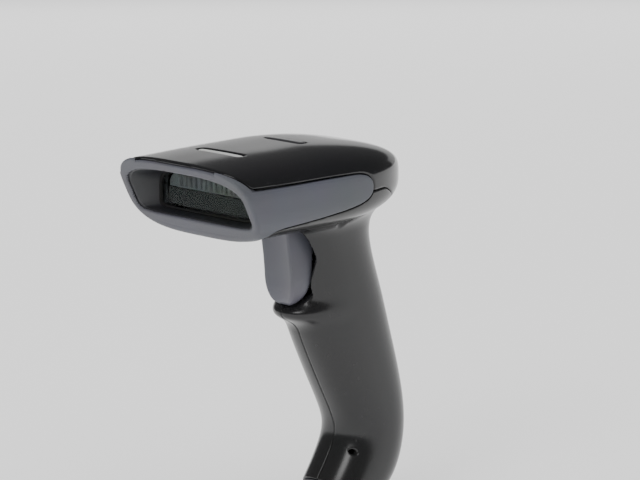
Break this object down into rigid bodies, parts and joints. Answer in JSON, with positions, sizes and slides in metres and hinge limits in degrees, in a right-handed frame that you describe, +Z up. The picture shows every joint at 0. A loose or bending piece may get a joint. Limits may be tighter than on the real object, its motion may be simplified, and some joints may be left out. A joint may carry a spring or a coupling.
{
  "type": "handheld barcode scanner",
  "caption": "Pistol-grip handheld barcode scanner: wide scanning head with a grey nose bumper and side bands, one-finger trigger, curved grip and a cable socket in its foot",
  "frame": {"origin": "middle of the hand grip, on its long axis, in the plane of symmetry", "axes": "+Z up along the upright object (its longest extent), the nose and its window face -Y, +X is the scanner's own left-right axis (its shortest extent), with +X on the side seen to the right of the nose"},
  "size_m": [0.0776, 0.1203, 0.1653],
  "materials": {
    "base_bumper": "fine-grained overmould",
    "beeper": "plain",
    "decoder_chip": "moulded package",
    "engine_chassis": "plain",
    "engine_lens": "coated lens in a black barrel",
    "grip_screw_1": "zinc-plated",
    "grip_screw_2": "zinc-plated",
    "grip_screw_3": "zinc-plated",
    "handle_board": "solder-masked board",
    "head_screw_1": "zinc-plated",
    "head_screw_2": "zinc-plated",
    "head_screw_3": "zinc-plated",
    "head_screw_4": "zinc-plated",
    "illumination_board": "solder-masked board",
    "illumination_led_1": "phosphor-filled",
    "illumination_led_2": "phosphor-filled",
    "illumination_led_3": "phosphor-filled",
    "illumination_led_4": "phosphor-filled",
    "illumination_lens": "clear ribbed moulding",
    "image_sensor": "coated window",
    "interface_jack": "plain",
    "jack_contacts": "gold-plated",
    "left_housing": "semi-gloss moulded plastic",
    "main_board": "solder-masked board",
    "nose_bumper": "fine-grained overmould",
    "rear_lens": "smoked light pipe",
    "ribbon_cable": "flat film cable",
    "right_housing": "semi-gloss moulded plastic",
    "scan_window": "clear, hard-coated",
    "sensor_board": "solder-masked board",
    "status_lens": "translucent light pipe",
    "switch_body": "plain",
    "switch_button": "plain",
    "top_cover": null,
    "trigger": "fine texture",
    "trigger_pin": "ground",
    "trigger_spring": "drawn wire",
    "window_frame": "plain",
    "window_gasket": "foam"
  },
  "bodies": {
    "housing": {"base_bumper": "base_bumper", "beeper": "beeper", "decoder_chip": "decoder_chip", "engine_chassis": "engine_chassis", "engine_lens": "engine_lens", "grip_screw_1": "grip_screw_1", "grip_screw_2": "grip_screw_2", "grip_screw_3": "grip_screw_3", "handle_board": "handle_board", "head_screw_1": "head_screw_1", "head_screw_2": "head_screw_2", "head_screw_3": "head_screw_3", "head_screw_4": "head_screw_4", "illumination_board": "illumination_board", "illumination_led_1": "illumination_led_1", "illumination_led_2": "illumination_led_2", "illumination_led_3": "illumination_led_3", "illumination_led_4": "illumination_led_4", "illumination_lens": "illumination_lens", "image_sensor": "image_sensor", "interface_jack": "interface_jack", "jack_contacts": "jack_contacts", "left_housing": "left_housing", "main_board": "main_board", "nose_bumper": "nose_bumper", "rear_lens": "rear_lens", "ribbon_cable": "ribbon_cable", "right_housing": "right_housing", "scan_window": "scan_window", "sensor_board": "sensor_board", "status_lens": "status_lens", "switch_body": "switch_body", "top_cover": "top_cover", "trigger_pin": "trigger_pin", "trigger_spring": "trigger_spring", "window_frame": "window_frame", "window_gasket": "window_gasket"},
    "trigger": {"trigger": "trigger"},
    "switch_button": {"switch_button": "switch_button"}
  },
  "joints": [
    {"name": "trigger_pull", "type": "hinge", "parent": "housing", "child": "trigger", "pos_m": [0, -0.036, 0.075], "axis": [1, 0, 0], "range_deg": [0, 3], "stiffness_Nm_per_rad": 2, "springref_deg": -2.86, "deforming": ["trigger_spring"]},
    {"name": "switch_press", "type": "slide", "parent": "housing", "child": "switch_button", "axis": [0, 0.9659, 0.2588], "range_m": [0, 0.00145]}
  ],
  "couplings": [
    {"joint": "switch_press", "follows": "trigger_pull", "m_per_rad": 0.0275}
  ]
}
